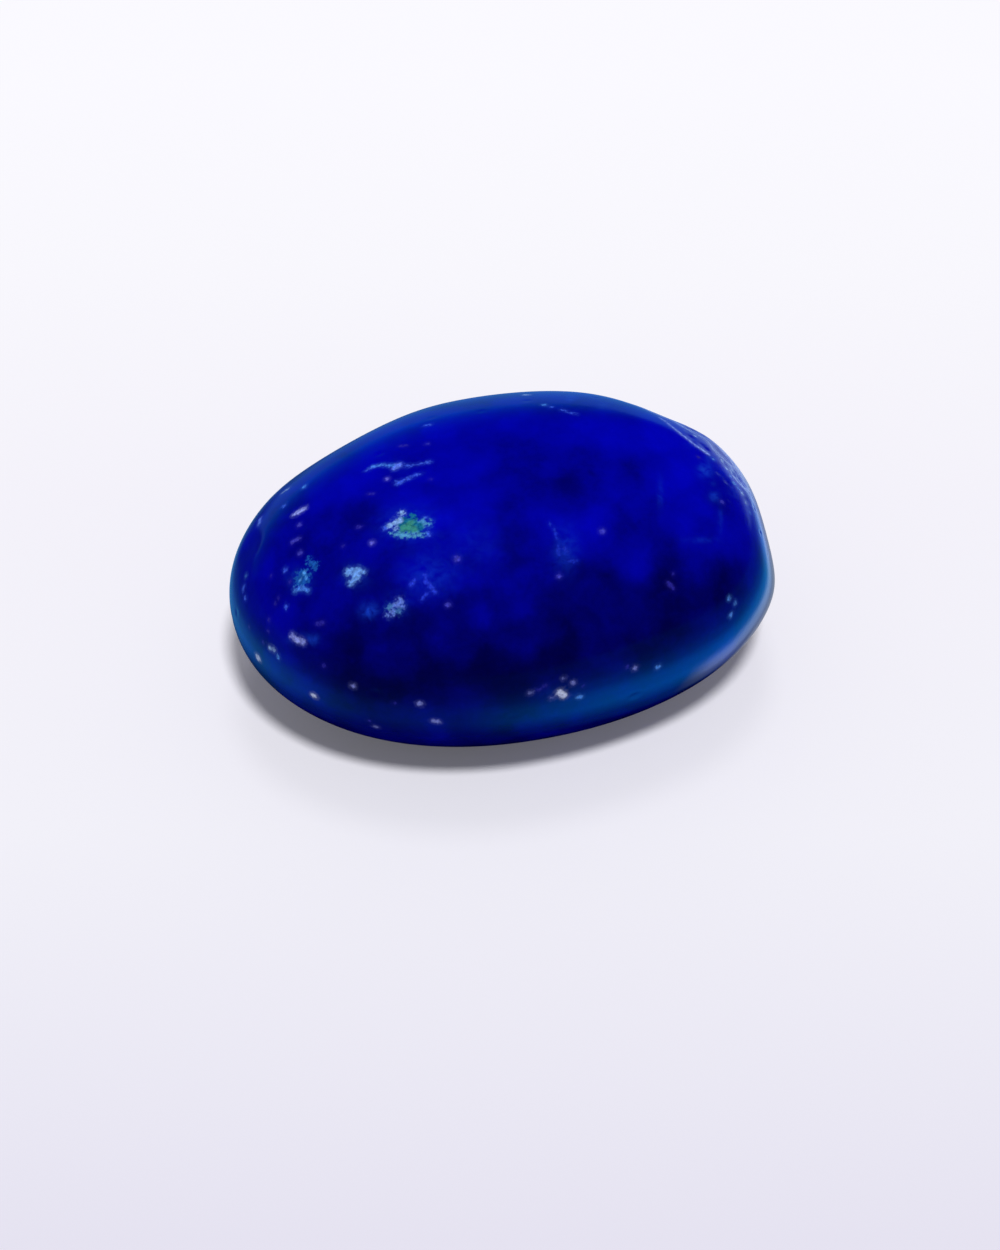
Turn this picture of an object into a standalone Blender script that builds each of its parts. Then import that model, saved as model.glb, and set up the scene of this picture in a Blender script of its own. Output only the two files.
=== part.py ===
"""A tumble-polished lapis lazuli pebble: one solid stone, a thick rounded oval that rests on its belly.

Metres, +Z up, +X along the pebble's length. The origin is on the surface that the pebble stands on,
under the middle of the pebble. Run with: blender --background --python part.py
"""

import math

import bmesh
import bpy
import numpy as np

MM = 0.001

# Overall size of the pebble, in millimetres
LENGTH = 28.0
WIDTH = 20.0
HEIGHT = 14.0

# The girdle is the widest line round the pebble. It sits a little below half height.
GIRDLE_HEIGHT = 6.7
# The belly would reach this far below the resting surface if it were not worn flat
RESTING_FLAT_DEPTH = 0.15

# 2 would be a true ellipse, and more is fuller at the corners: seen from above, and from the side
PLAN_POWER = 2.12
SECTION_POWER = 2.1
# The end at +X is this share wider than the middle, and the other end is as much narrower
BROAD_END = 0.085
# A faint three-cornered shape seen from above, as a share of the radius, and the turn of one flat side
THREE_CORNER_SHARE = -0.018
THREE_CORNER_TURN = 59.0

# Soft flats left from the rough stone: compass angle and elevation of each one's normal in degrees,
# how deep it is worn below the rounded form, and how wide its edges are blended, in millimetres
SOFT_FLATS = {
    "far_shoulder": (10.0, 33.0, 0.50, 0.14),
    "broad_end": (-7.0, 14.0, 0.60, 0.30),
    "back_shoulder": (44.0, 41.0, 0.33, 0.30),
    "far_left_shoulder": (114.0, 35.0, 0.30, 0.30),
    "back_belly": (68.0, -38.0, 0.25, 0.35),
    "underside": (150.0, -64.0, 0.15, 0.40),
}

# Shallow chips and dimples that the tumbling did not take away: compass angle and elevation of the
# centre in degrees, radius and depth in millimetres. Most are on the far shoulder.
DIMPLES = {
    "shoulder_chip_upper": (16.0, 20.0, 1.4, 0.16),
    "shoulder_chip_middle": (7.0, 18.0, 1.2, 0.13),
    "shoulder_chip_lower": (-1.0, 17.0, 1.1, 0.11),
    "shoulder_ledge": (24.0, 22.0, 1.3, 0.10),
    "narrow_end_pit": (172.0, 14.0, 1.2, 0.10),
    "back_pit": (70.0, 6.0, 1.6, 0.16),
    "back_chip": (112.0, -18.0, 1.3, 0.12),
    "belly_pit": (-118.0, -44.0, 1.2, 0.10),
}

# Slow waves over the whole surface, so that no part of it is a perfect curve
WAVE_HEIGHT = 0.04
WAVE_LENGTH = 9.0
WAVE_COUNT = 6
WAVE_SEED = 7

# Facets along each edge of the cube that is rounded into the pebble
GRID_STEPS = 26

STONE_COLOUR = (0.001, 0.001, 0.28, 1.0)
STONE_ROUGHNESS = 0.18


def direction(compass, elevation):
    """The unit vector at this compass angle from +X and this elevation, both in degrees."""
    turn, rise = math.radians(compass), math.radians(elevation)
    return np.array((math.cos(turn) * math.cos(rise), math.sin(turn) * math.cos(rise), math.sin(rise)))


def rounded_form(rays):
    """Points of the plain rounded pebble along these rays from its girdle's centre, in millimetres.

    Plan radius p = (|x/a|^m + |y/b|^m)^(1/m), and the surface is where p^n + |z/c|^n = 1. The half height c
    is larger above the girdle than below. The plan is then swollen at three corners and at the broad end.
    """
    half_length, half_width = LENGTH / 2, WIDTH / 2
    above, below = HEIGHT - GIRDLE_HEIGHT, GIRDLE_HEIGHT + RESTING_FLAT_DEPTH
    x, y, z = rays.T
    plan = (np.abs(x / half_length) ** PLAN_POWER + np.abs(y / half_width) ** PLAN_POWER) ** (1 / PLAN_POWER)
    side = np.abs(z) / np.where(z > 0, above, below)
    points = rays * ((plan**SECTION_POWER + side**SECTION_POWER) ** (-1 / SECTION_POWER))[:, None]
    corner = 3 * (np.arctan2(y, x) - math.radians(THREE_CORNER_TURN))
    points[:, :2] *= (1 + THREE_CORNER_SHARE * np.cos(corner))[:, None]
    points[:, 1] *= 1 + BROAD_END * points[:, 0] / half_length
    return points


def add_waves(points, rays):
    """Moves the points in and out along their rays by a sum of slow sine waves that cross the pebble."""
    random = np.random.default_rng(WAVE_SEED)
    unit_rays = rays / np.linalg.norm(rays, axis=1)[:, None]
    for _ in range(WAVE_COUNT):
        heading = random.normal(size=3)
        heading /= np.linalg.norm(heading)
        phase = random.uniform(0, math.tau)
        lift = np.sin(points @ heading * math.tau / WAVE_LENGTH + phase)
        points = points + unit_rays * (lift * WAVE_HEIGHT / math.sqrt(WAVE_COUNT))[:, None]
    return points


def wear_flat(points, compass, elevation, depth, blend):
    """Wears a soft flat: reach s along the normal, past the flat's level, fades to that level.

    The worn reach is s - blend * log(1 + exp((s - level) / blend)), which has no sharp edge.
    """
    normal = direction(compass, elevation)
    reach = points @ normal
    level = reach.max() - depth
    worn = blend * np.logaddexp(0, (reach - level) / blend)
    return points - worn[:, None] * normal


def press_dimple(points, rays, compass, elevation, radius, depth):
    """Presses a round dimple into the surface, of depth * (1 - (d / radius)^2)^2 at distance d."""
    unit_rays = rays / np.linalg.norm(rays, axis=1)[:, None]
    aim = direction(compass, elevation)
    centre = points[np.argmax(unit_rays @ aim)]
    distance = np.linalg.norm(points - centre, axis=1)
    fall = np.clip(1 - (distance / radius) ** 2, 0, None) ** 2
    return points - unit_rays * (depth * fall)[:, None]


def fit_to_size(points):
    """Centres the points over the origin and brings them to the overall size, with the flat at z = 0."""
    low, high = points.min(axis=0), points.max(axis=0)
    size = np.array((LENGTH, WIDTH, HEIGHT + RESTING_FLAT_DEPTH))
    centred = (points - (low + high) / 2) * size / (high - low)
    return centred + (0, 0, size[2] / 2 - RESTING_FLAT_DEPTH)


def pebble_points(rays):
    """The pebble's surface along these rays, in millimetres: rounded form, waves, flats, dimples, size."""
    points = add_waves(rounded_form(rays), rays)
    for flat in SOFT_FLATS.values():
        points = wear_flat(points, *flat)
    for dimple in DIMPLES.values():
        points = press_dimple(points, rays, *dimple)
    return fit_to_size(points)


def rounded_cube(mesh):
    """A cube of GRID_STEPS squares a side, its points turned into rays spread evenly over the pebble."""
    bmesh.ops.create_cube(mesh, size=2.0)
    bmesh.ops.subdivide_edges(mesh, edges=mesh.edges[:], cuts=GRID_STEPS - 1, use_grid_fill=True)
    corners = np.array([vert.co for vert in mesh.verts])
    rays = np.tan(corners * math.pi / 4)
    rays /= np.linalg.norm(rays, axis=1)[:, None]
    return rays * (LENGTH / 2, WIDTH / 2, HEIGHT / 2)


def wear_resting_flat(mesh):
    """Cuts the belly off level at z = 0 and closes it with one flat face, which the pebble rests on."""
    whole = mesh.verts[:] + mesh.edges[:] + mesh.faces[:]
    cut = bmesh.ops.bisect_plane(mesh, geom=whole, plane_no=(0, 0, 1), clear_inner=True, dist=1e-7)
    rim = [item for item in cut["geom_cut"] if isinstance(item, bmesh.types.BMEdge)]
    bmesh.ops.contextual_create(mesh, geom=rim)
    bmesh.ops.recalc_face_normals(mesh, faces=mesh.faces)


def lapis_material():
    """Polished lapis lazuli: an opaque deep ultramarine stone with a glassy polish."""
    material = bpy.data.materials.new("polished_lapis")
    material.use_nodes = True
    shader = material.node_tree.nodes["Principled BSDF"]
    shader.inputs["Base Color"].default_value = STONE_COLOUR
    shader.inputs["Roughness"].default_value = STONE_ROUGHNESS
    shader.inputs["Metallic"].default_value = 0.0
    material.diffuse_color = STONE_COLOUR
    return material


def lapis_stone():
    """The whole pebble as one closed object, its faces shaded smooth up to the edge of its resting flat."""
    form = bmesh.new()
    rays = rounded_cube(form)
    for vert, point in zip(form.verts, pebble_points(rays) * MM):
        vert.co = point
    wear_resting_flat(form)
    mesh = bpy.data.meshes.new("lapis_stone")
    form.to_mesh(mesh)
    form.free()
    mesh.shade_smooth()
    mesh.set_sharp_from_angle(angle=math.radians(40))
    mesh.materials.append(lapis_material())
    stone = bpy.data.objects.new("lapis_stone", mesh)
    bpy.context.scene.collection.objects.link(stone)
    return stone


def clear_scene():
    """Removes whatever objects the open scene holds."""
    for item in list(bpy.data.objects):
        bpy.data.objects.remove(item)


clear_scene()
lapis_stone()
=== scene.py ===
"""The looks of a tumble-polished lapis lazuli pebble: its surface, stone and flecks, and a small studio."""

import math

import bpy
import numpy as np
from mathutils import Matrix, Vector


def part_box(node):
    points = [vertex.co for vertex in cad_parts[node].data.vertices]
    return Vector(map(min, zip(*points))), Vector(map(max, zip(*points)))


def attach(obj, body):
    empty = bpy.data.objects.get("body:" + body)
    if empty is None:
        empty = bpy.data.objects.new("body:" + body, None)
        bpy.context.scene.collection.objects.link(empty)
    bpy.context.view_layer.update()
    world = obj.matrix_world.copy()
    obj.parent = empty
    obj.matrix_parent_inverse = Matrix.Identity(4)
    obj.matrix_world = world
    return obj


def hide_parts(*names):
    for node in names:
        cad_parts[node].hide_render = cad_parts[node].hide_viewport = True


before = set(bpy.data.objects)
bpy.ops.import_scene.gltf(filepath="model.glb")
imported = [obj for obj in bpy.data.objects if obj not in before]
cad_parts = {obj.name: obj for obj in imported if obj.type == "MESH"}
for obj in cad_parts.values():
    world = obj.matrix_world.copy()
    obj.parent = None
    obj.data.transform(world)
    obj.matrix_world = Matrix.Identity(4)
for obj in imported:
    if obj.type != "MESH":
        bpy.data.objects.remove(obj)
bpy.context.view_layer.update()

MM = 0.001

# The pebble's size in millimetres, read from the solid that it replaces
NODE = "lapis_stone"
LOW, HIGH = (np.array(corner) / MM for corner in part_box(NODE))
LENGTH, WIDTH, HEIGHT = HIGH - LOW

# The form of the pebble, in millimetres, degrees and shares, as the solid has it
GIRDLE_HEIGHT = 6.7
RESTING_FLAT_DEPTH = 0.15
PLAN_POWER = 2.12
SECTION_POWER = 2.1
BROAD_END = 0.085
THREE_CORNER_SHARE = -0.018
THREE_CORNER_TURN = 59.0

# Soft flats: compass angle and elevation of the normal, wear depth, and blend of the edges
SOFT_FLATS = {
    "far_shoulder": (10.0, 33.0, 0.50, 0.14),
    "broad_end": (-7.0, 14.0, 0.60, 0.30),
    "back_shoulder": (44.0, 41.0, 0.33, 0.30),
    "far_left_shoulder": (114.0, 35.0, 0.30, 0.30),
    "back_belly": (68.0, -38.0, 0.25, 0.35),
    "underside": (150.0, -64.0, 0.15, 0.40),
}

# Chips and dimples: compass angle and elevation of the centre, radius and depth
DIMPLES = {
    "shoulder_chip_upper": (16.0, 20.0, 1.4, 0.16),
    "shoulder_chip_middle": (7.0, 18.0, 1.2, 0.13),
    "shoulder_chip_lower": (-1.0, 17.0, 1.1, 0.11),
    "shoulder_ledge": (24.0, 22.0, 1.3, 0.10),
    "narrow_end_pit": (172.0, 14.0, 1.2, 0.10),
    "back_pit": (70.0, 6.0, 1.6, 0.16),
    "back_chip": (112.0, -18.0, 1.3, 0.12),
    "belly_pit": (-118.0, -44.0, 1.2, 0.10),
}

# Slow waves over the whole surface
WAVE_HEIGHT = 0.04
WAVE_LENGTH = 9.0
WAVE_COUNT = 6
WAVE_SEED = 7

# Squares along each edge of the cube that is rounded into the pebble: about 0.12 mm each on the stone
GRID_STEPS = 126

# The photograph's frame in pixels, and where the camera stands, in degrees and millimetres. The girdle's
# centre shows at STONE_PIXEL, and PIXELS_PER_MM is the scale there.
PHOTO_WIDTH, PHOTO_HEIGHT = 1000, 1250
CAMERA_TURN, CAMERA_RISE = -14.8, 45.0
CAMERA_DISTANCE = 177.0
STONE_PIXEL = (503.2, 568.6)
PIXELS_PER_MM = 19.68
SENSOR = 36.0


def direction(compass, elevation):
    """The unit vector at this compass angle from +X and this elevation, both in degrees."""
    turn, rise = math.radians(compass), math.radians(elevation)
    return np.array((math.cos(turn) * math.cos(rise), math.sin(turn) * math.cos(rise), math.sin(rise)))


def unit(vectors):
    """The same vectors, each of length one."""
    return vectors / np.linalg.norm(vectors, axis=-1, keepdims=True)


# The camera's own axes: towards it, to its right and upwards
TO_CAMERA = direction(CAMERA_TURN - 90, CAMERA_RISE)
CAMERA_RIGHT = direction(CAMERA_TURN, 0)
CAMERA_UP = np.cross(TO_CAMERA, CAMERA_RIGHT)
GIRDLE_CENTRE = np.array((0, 0, GIRDLE_HEIGHT))
CAMERA_PLACE = GIRDLE_CENTRE + TO_CAMERA * CAMERA_DISTANCE


def pixel_ray(x, y):
    """Direction from the camera through this pixel of the photograph: straight ahead, plus the pixel's
    offset from the girdle centre's pixel in millimetres along the camera's right and up."""
    across = (x - STONE_PIXEL[0]) / PIXELS_PER_MM
    upward = (STONE_PIXEL[1] - y) / PIXELS_PER_MM
    return unit(CAMERA_RIGHT * across + CAMERA_UP * upward - TO_CAMERA * CAMERA_DISTANCE)


def rounded_form(rays):
    """Points of the plain pebble along rays from its girdle's centre.

    Plan radius p = (|x/a|^m + |y/b|^m)^(1/m), and the surface is where p^n + |z/c|^n = 1, with a larger
    half height c above the girdle than below. The plan is then made faintly three-cornered, and wider
    towards +X.
    """
    half_length, half_width = LENGTH / 2, WIDTH / 2
    above, below = HEIGHT - GIRDLE_HEIGHT, GIRDLE_HEIGHT + RESTING_FLAT_DEPTH
    x, y, z = rays.T
    plan_sum = np.abs(x / half_length) ** PLAN_POWER + np.abs(y / half_width) ** PLAN_POWER
    plan = plan_sum ** (1 / PLAN_POWER)
    side = np.abs(z) / np.where(z > 0, above, below)
    points = rays * ((plan**SECTION_POWER + side**SECTION_POWER) ** (-1 / SECTION_POWER))[:, None]
    corner = 3 * (np.arctan2(y, x) - math.radians(THREE_CORNER_TURN))
    points[:, :2] *= (1 + THREE_CORNER_SHARE * np.cos(corner))[:, None]
    points[:, 1] *= 1 + BROAD_END * points[:, 0] / half_length
    return points


def add_waves(points, rays, height, length, count, seed):
    """Moves points along their rays by the mean of slow sine waves of one length in seeded directions."""
    random = np.random.default_rng(seed)
    for _ in range(count):
        heading = unit(random.normal(size=3))
        phase = random.uniform(0, math.tau)
        lift = np.sin(points @ heading * math.tau / length + phase)
        points = points + unit(rays) * (lift * height / math.sqrt(count))[:, None]
    return points


def wear_flat(points, compass, elevation, depth, blend):
    """Wears a soft flat: reach s along the normal becomes s - blend * log(1 + exp((s - level) / blend))."""
    normal = direction(compass, elevation)
    reach = points @ normal
    level = reach.max() - depth
    return points - (blend * np.logaddexp(0, (reach - level) / blend))[:, None] * normal


def press_dimple(points, rays, compass, elevation, radius, depth):
    """Presses a round dimple of depth * (1 - (d / radius)^2)^2 at distance d from its centre."""
    centre = points[np.argmax(unit(rays) @ direction(compass, elevation))]
    distance = np.linalg.norm(points - centre, axis=1)
    fall = np.clip(1 - (distance / radius) ** 2, 0, None) ** 2
    return points - unit(rays) * (depth * fall)[:, None]


def fit_to_size(points):
    """Centres the points over the origin and stretches them to the solid's size, the belly cut at z = 0."""
    low, high = points.min(axis=0), points.max(axis=0)
    size = np.array((LENGTH, WIDTH, HEIGHT + RESTING_FLAT_DEPTH))
    centred = (points - (low + high) / 2) * size / (high - low)
    return centred + (0, 0, size[2] / 2 - RESTING_FLAT_DEPTH)


# Small pits that polishing leaves, each a seeded place with a radius and depth in millimetres. Most of
# them crowd on the chipped far shoulder, centre and spread in degrees, and the rest lie all over.
PIT_SEED = 21
SHOULDER_PITS = 90
SHOULDER_CENTRE, SHOULDER_SPREAD = (8.0, 15.0), (12.0, 7.0)
SCATTERED_PITS = 60
PIT_RADIUS, PIT_DEPTH = (0.14, 0.36), (0.012, 0.05)


def press_pits(points, rays):
    """Presses the small pits, each of depth * (1 - (d / radius)^2)^2 at distance d from its centre."""
    random = np.random.default_rng(PIT_SEED)
    near = random.normal(size=(SHOULDER_PITS, 2)) * SHOULDER_SPREAD + SHOULDER_CENTRE
    aims = [direction(*angles) for angles in near]
    aims += list(unit(random.normal(size=(SCATTERED_PITS, 3))))
    sink = np.zeros(len(points))
    for aim in aims:
        centre = points[np.argmax(unit(rays) @ aim)]
        radius, depth = random.uniform(*PIT_RADIUS), random.uniform(*PIT_DEPTH)
        distance = np.linalg.norm(points - centre, axis=1)
        sink = np.maximum(sink, depth * np.clip(1 - (distance / radius) ** 2, 0, None) ** 2)
    return points - unit(rays) * sink[:, None]


def cube_grid(steps):
    """Rays over a cube's six sides, and the squares that join them.

    On each side the ray to parameters (u, v) is (tan(u pi/4), tan(v pi/4)) across the side, which
    spreads them evenly once they are made unit vectors. Points shared by sides are merged by their
    whole-number places on the cube.
    """
    count = np.arange(steps + 1)
    u, v = np.meshgrid(count, count, indexing="ij")
    end = np.full_like(u, steps)
    sides = [(end, u, v), (0 * end, v, u), (v, end, u), (u, 0 * end, v), (u, v, end), (v, u, 0 * end)]
    places = np.concatenate([np.stack(side, -1).reshape(-1, 3) for side in sides])
    key = places @ (1, 1000, 1000000)
    _, first, shared = np.unique(key, return_index=True, return_inverse=True)
    corner = (u * (steps + 1) + v)[:-1, :-1].reshape(-1, 1)
    square = corner + (0, steps + 1, steps + 2, 1)
    squares = np.concatenate([square + side * (steps + 1) ** 2 for side in range(6)])
    rays = unit(np.tan((places[first] / steps * 2 - 1) * math.pi / 4))
    return rays, shared.reshape(-1)[squares]


def pebble_surface():
    """The pebble's fine surface: form, waves, flats, dimples and pits on the rounded cube, cut at z = 0."""
    rays, squares = cube_grid(GRID_STEPS)
    rays = rays * (LENGTH / 2, WIDTH / 2, HEIGHT / 2)
    points = add_waves(rounded_form(rays), rays, WAVE_HEIGHT, WAVE_LENGTH, WAVE_COUNT, WAVE_SEED)
    for flat in SOFT_FLATS.values():
        points = wear_flat(points, *flat)
    for dimple in DIMPLES.values():
        points = press_dimple(points, rays, *dimple)
    points = fit_to_size(press_pits(points, rays))
    points[:, 2] = np.maximum(points[:, 2], 0)
    return points, squares


# Mineral flecks seen in the photograph, some painted bright as glints, and a painted highlight on the
# shoulder's ridge. Each is a rounded streak from one pixel to another, with its half width in pixels; a
# grain has one pixel only.
# Calcite and pyrite grains painted near white: partly their own pale colour and partly a painted glint
WHITE_GRAINS_AND_GLINTS = [(560, 692, 564, 696, 3.2), (258, 658, 4), (314, 696, 3.1)]
LILAC_GRAINS = [
    (297, 513, 304, 509, 2.8), (294, 515, 1.9), (292, 636, 297, 640, 2.7), (297, 640, 303, 642, 2.8),
]
SKY_GRAINS = [(395, 468, 399, 465, 3.4), (259, 524, 260, 519, 2.2)]
SKY_STREAKS = [
    (366, 471, 372, 468, 1.2), (407, 466, 2.3), (408, 466, 427, 463, 1), (429, 462, 2.1),
    (397, 483, 2.9), (403, 481, 2.4), (410, 478, 2.1), (416, 475, 1.5), (397, 483, 421, 474, 1),
    (284, 506, 2.3), (286, 607, 2), (425, 426, 430, 425, 1.5), (551, 407, 1.8), (562, 410, 565, 411, 1.9),
    (567, 412, 576, 414, 1.2), (285, 570, 2.2), (243, 590, 244, 586, 2), (245, 598, 2.2), (385, 528, 2.7),
    (428, 534, 2.7), (425, 518, 1.6),
]
SEA_STREAKS = [
    (304, 487, 2.5), (295, 591, 298, 589, 1.9), (298, 589, 304, 588, 2.1), (304, 588, 308, 591, 1.8),
    (544, 405, 2.4), (372, 467, 381, 465, 1.4), (381, 465, 393, 466, 1.7),
]
VIOLET_DOT = [(372, 543, 2), (387, 479, 1.8)]
VIOLET_GRAINS = [
    (457, 559, 3), (602, 531, 2.8), (448, 605, 2.4), (559, 576, 2.1), (299, 525, 2.4),
    (292, 542, 299, 539, 1.8), (300, 553, 2.5), (722, 502, 1.9), (427, 444, 1.7),
]
GREY_GRAINS = [
    (573, 683, 2.3), (530, 693, 1.9), (552, 698, 1.8), (564, 678, 1.5), (420, 704, 3),
    (434, 721, 438, 722, 2.6), (353, 686, 2.6), (376, 727, 2.2), (635, 668, 2.4),
]
DIM_GRAINS = [
    (324, 666, 2.1), (369, 721, 1.6), (394, 703, 1.6), (538, 690, 2), (545, 686, 2.2), (583, 686, 1.8),
    (627, 667, 2), (357, 527, 361, 527, 1.5), (343, 546, 1.5),
    (430, 479, 1.6), (368, 494, 373, 494, 1.3), (292, 544, 1.9), (271, 576, 1.6), (278, 598, 1.5),
    (275, 604, 1.6), (269, 620, 2), (268, 631, 1.6), (263, 643, 1.8), (249, 627, 1.6),
    (400, 446, 406, 446, 1.6), (668, 583, 673, 588, 1.9), (673, 574, 1.4), (317, 624, 323, 623, 1.9),
    (698, 457, 2), (290, 582, 1.8),
]
AZURE_GRAINS = [
    (658, 667, 2.6), (731, 615, 2.5), (729, 598, 2.1), (735, 603, 1.9), (278, 657, 2.3),
    (578, 697, 581, 697, 2), (734, 483, 2.4), (246, 576, 1.6), (738, 488, 1.5), (750, 512, 1.4),
    (713, 459, 1.5), (730, 476, 1.4),
]
PALE_RIM_GRAINS = [
    (270, 648, 2.3), (274, 650, 2.1), (742, 493, 2.2), (722, 461, 2.2), (726, 468, 2.2), (695, 436, 1.8),
    (690, 430, 1.4), (524, 395, 528, 395, 1.8), (732, 470, 1.3), (746, 503, 1.6),
    (282, 493, 288, 489, 1.3),
]
# A painted highlight along the worn shoulder's ridge, drawn like a thin pale streak
RIDGE_HIGHLIGHT = [
    (649, 410, 660, 418, 1.1), (660, 418, 672, 427, 1.2), (672, 427, 682, 435, 1.5),
    (682, 435, 696, 446, 1.6), (698, 447, 708, 454, 1.9),
]
HEART_PATCH = [(349, 572, 4), (357, 571, 4), (363, 572, 2.6), (356, 577, 4.4), (351, 583, 2.9)]
VEIN = [
    (425, 574, 425, 581, 1.2), (425, 581, 430, 586, 1.7), (430, 586, 435, 592, 1.8),
    (411, 585, 414, 581, 1.9), (427, 594, 422, 599, 1.4),
]
FAINT_VEIN = [
    (549, 523, 554, 529, 1), (554, 529, 557, 538, 1.2), (558, 546, 558, 554, 1.4), (564, 548, 567, 552, 2),
    (568, 561, 576, 561, 1.3),
]
GREY_PATCH = [(400, 602, 3.3), (396, 606, 3), (392, 613, 3.1), (388, 616, 2), (402, 606, 1.8)]
GREY_PATCH_TEAL = [(390, 607, 3.1), (398, 611, 3.3)]
TEAL_PATCH = [(404, 524, 418, 526, 6.8), (412, 517, 4)]
GREEN_PATCH = [(404, 528, 413, 529, 4), (410, 523, 3)]
AQUA_SPRAY = [(398, 521, 4), (402, 513, 399, 520, 2), (385, 528, 394, 523, 2.2), (395, 528, 2.6)]
SEA_SPRAY = [
    (392, 532, 400, 535, 1.9), (400, 535, 410, 535, 2.2), (410, 535, 424, 534, 2.2),
    (421, 521, 426, 525, 2.2), (430, 522, 2),
]
TEAL_DUST = [(302, 578, 8.5), (310, 562, 314, 566, 3.4)]
TEAL_SPOTS = [(304, 573, 2.3), (306, 578, 1.8), (300, 580, 1.9)]

# Soft clouds under the polish, seen in the photograph: centre, radii across and up in pixels, and how
# strong. Pale mineral lies under PALE_CLOUDS. In the others the blue is darker or lighter, partly as the
# stone's own mottling and partly as painted shade across its lower front and painted light along its right
# rim.
PALE_CLOUDS = [
    (369, 611, 8, 7, 0.85), (313, 640, 7, 5, 0.6), (299, 579, 11, 9, 0.45), (565, 550, 11, 20, 0.34),
    (430, 575, 24, 18, 0.28), (705, 470, 6, 6, 1), (714, 496, 5, 5, 0.6), (720, 518, 2.4, 12, 0.3),
    (660, 494, 2.4, 13, 0.35), (700, 540, 15, 2.6, 0.28), (712, 483, 3, 3, 0.35),
    (475, 545, 26, 20, 0.1), (570, 398, 4, 3, 0.6), (602, 406, 5, 3, 0.3), (712, 458, 6, 3.5, 0.7),
    (727, 469, 8, 8, 0.45), (737, 487, 7, 9, 0.5), (355, 576, 12, 11, 0.35), (398, 606, 11, 12, 0.3),
    (408, 525, 26, 15, 0.35), (298, 639, 11, 6, 0.35), (398, 466, 9, 5, 0.3), (564, 694, 16, 8, 0.25),
    (698, 444, 9, 4, 0.4),
]
DARK_CLOUDS_AND_SHADE = [
    (290, 600, 55, 60, 0.5), (450, 580, 90, 35, 0.3), (460, 620, 70, 45, 0.3), (500, 680, 50, 30, 0.6),
    (400, 680, 60, 28, 0.6), (575, 665, 60, 18, 0.4), (345, 635, 28, 38, 0.6), (465, 565, 20, 14, 0.5),
    (555, 600, 32, 24, 0.5), (667, 585, 20, 42, 1.2), (725, 580, 20, 35, 0.2), (610, 575, 15, 18, 0.4),
    (570, 478, 34, 32, 1.1), (517, 538, 24, 22, 0.9), (510, 475, 30, 38, 0.6), (640, 465, 22, 20, 0.7),
    (345, 515, 30, 16, 0.7), (305, 545, 26, 18, 0.6), (625, 530, 25, 22, 0.5), (360, 585, 45, 30, 0.3),
    (285, 520, 26, 20, 0.5), (400, 548, 25, 12, 0.4),
]
LIGHT_CLOUDS_AND_RIM_LIGHT = [
    (480, 615, 16, 24, 0.6), (690, 555, 14, 35, 0.6), (635, 570, 18, 18, 0.15), (420, 572, 30, 13, 0.5),
    (635, 430, 60, 30, 0.3), (470, 525, 25, 25, 0.3), (370, 480, 35, 18, 0.2), (300, 640, 18, 20, 0.3),
    (750, 530, 20, 50, 0.8), (685, 465, 32, 30, 0.8),
]

# Clouds fade out where the stone turns away from the camera: this times the cosine, up to 1, is left
CLOUD_FADE = 6

# Each kind of fleck: its colour, and how far its outline is broken up, in millimetres
FLECK_KINDS = [
    ("#1658B4", 0.60, TEAL_DUST), ("#50A0F0", 0.20, TEAL_SPOTS), ("#6482E4", 0.30, GREY_PATCH),
    ("#4478B8", 0.30, GREY_PATCH_TEAL), ("#146C90", 0.36, TEAL_PATCH), ("#38907C", 0.36, GREEN_PATCH),
    ("#88B4F0", 0.34, AQUA_SPRAY), ("#509CC8", 0.34, SEA_SPRAY), ("#74ACFF", 0.18, HEART_PATCH),
    ("#263EE0", 0.12, VEIN), ("#1830C8", 0.12, FAINT_VEIN), ("#2C28A8", 0.10, DIM_GRAINS),
    ("#3C60EC", 0.20, SKY_STREAKS), ("#4E90FF", 0.12, SEA_STREAKS), ("#6080FF", 0.10, SKY_GRAINS),
    ("#7C7CFF", 0.04, VIOLET_DOT), ("#4040C4", 0.12, VIOLET_GRAINS), ("#5494F4", 0.12, AZURE_GRAINS),
    ("#88A4FF", 0.08, RIDGE_HIGHLIGHT), ("#9CC0FF", 0.12, PALE_RIM_GRAINS), ("#8088DC", 0.12, GREY_GRAINS),
    ("#98A4FF", 0.16, LILAC_GRAINS), ("#D4DCFF", 0.10, WHITE_GRAINS_AND_GLINTS),
]

# The depth, in millimetres, that a point far from every fleck has
OUTSIDE = -0.25
# Keeps a grain, whose two ends are one point, from dividing by nothing
TINY = 1e-9

# Seeded flecks for the sides that the photograph doesn't show, where a normal's cosine to the camera is
# below HIDDEN_FACING. Grains come as colour, raggedness and how many.
HIDDEN_SEED = 5
HIDDEN_FACING = 0.06
HIDDEN_GRAINS = [
    ("#2C28A8", 0.10, 70), ("#385CFF", 0.12, 60), ("#4040C4", 0.12, 40), ("#5494F4", 0.12, 20),
    ("#C4D4FF", 0.14, 8), ("#98A4FF", 0.16, 12),
]
# A hidden grain's mean length and its range of half widths, in millimetres
GRAIN_LENGTH, GRAIN_HALF_WIDTH = 0.18, (0.06, 0.16)
# Hidden patches: how many, the streaks in each, how far these spread and run, and their half widths
HIDDEN_PATCHES, PATCH_STREAKS = 5, 9
PATCH_SPREAD, PATCH_RUN, PATCH_HALF_WIDTH = 0.45, 0.25, (0.08, 0.26)
PATCH_RAGGED = 0.35
PATCH_COLOURS = ["#2A786C", "#4A94C0", "#6CA4FF", "#5C7ADC"]

# How far the shoulder's wear reaches, across and up, as shares of the spread of its pits
WEAR_REACH = (1.6, 1.2)


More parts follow.
